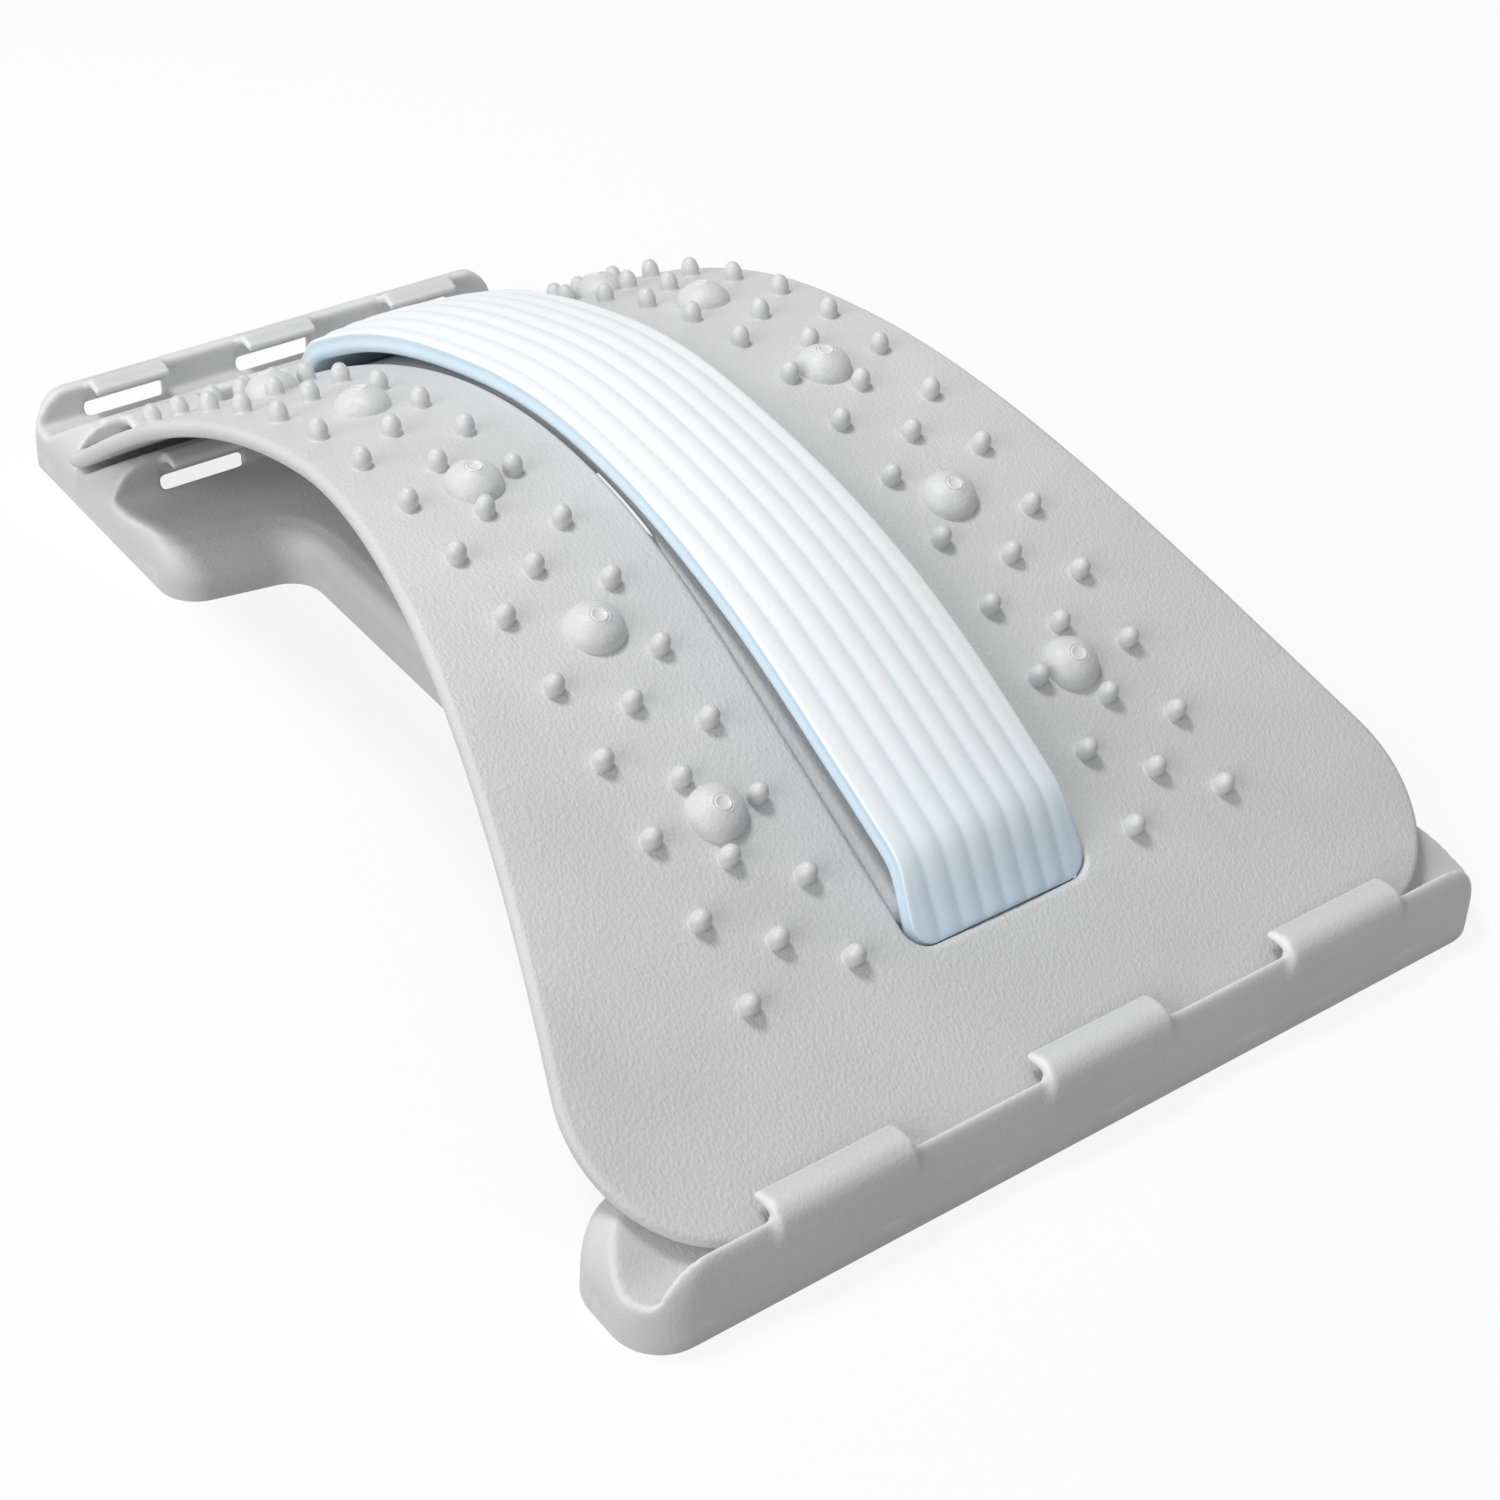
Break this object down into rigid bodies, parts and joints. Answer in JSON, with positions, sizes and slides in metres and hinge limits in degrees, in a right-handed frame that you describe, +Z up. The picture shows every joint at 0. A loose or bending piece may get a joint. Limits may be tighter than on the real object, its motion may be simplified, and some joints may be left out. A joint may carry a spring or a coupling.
{
  "type": "back stretcher",
  "caption": "Low moulded base whose hooks hold a sprung, arched board with massage bumps, magnet domes and a ribbed spine cushion.",
  "frame": {"origin": "on the floor under the middle of the bounding box", "axes": "+X across the back, +Y along the spine towards the end with three rows of hooks, +Z up"},
  "size_m": [0.2476, 0.3824, 0.0971],
  "materials": {
    "base_plastic": "fine leather grain, light grey",
    "board_plastic": "fine leather grain, light grey",
    "cushion_foam": "soft satin foam, pale blue, ribbed lengthwise",
    "carrier_plastic": "plain, dark grey",
    "magnet_enamel": "glossy coated cap"
  },
  "bodies": {
    "base_body": {"base": "base_plastic"},
    "board_body": {"arch_board": "board_plastic", "spine_cushion": "cushion_foam", "cushion_carrier": "carrier_plastic", "dome_magnet_left_1": "magnet_enamel", "dome_magnet_left_2": "magnet_enamel", "dome_magnet_left_3": "magnet_enamel", "dome_magnet_left_4": "magnet_enamel", "dome_magnet_left_5": "magnet_enamel", "dome_magnet_right_1": "magnet_enamel", "dome_magnet_right_2": "magnet_enamel", "dome_magnet_right_3": "magnet_enamel", "dome_magnet_right_4": "magnet_enamel", "dome_magnet_right_5": "magnet_enamel"}
  },
  "joints": [
    {"name": "board_slide", "type": "slide", "parent": "base_body", "child": "board_body", "axis": [1, 0, 0], "range_m": [0, 0.25]}
  ]
}
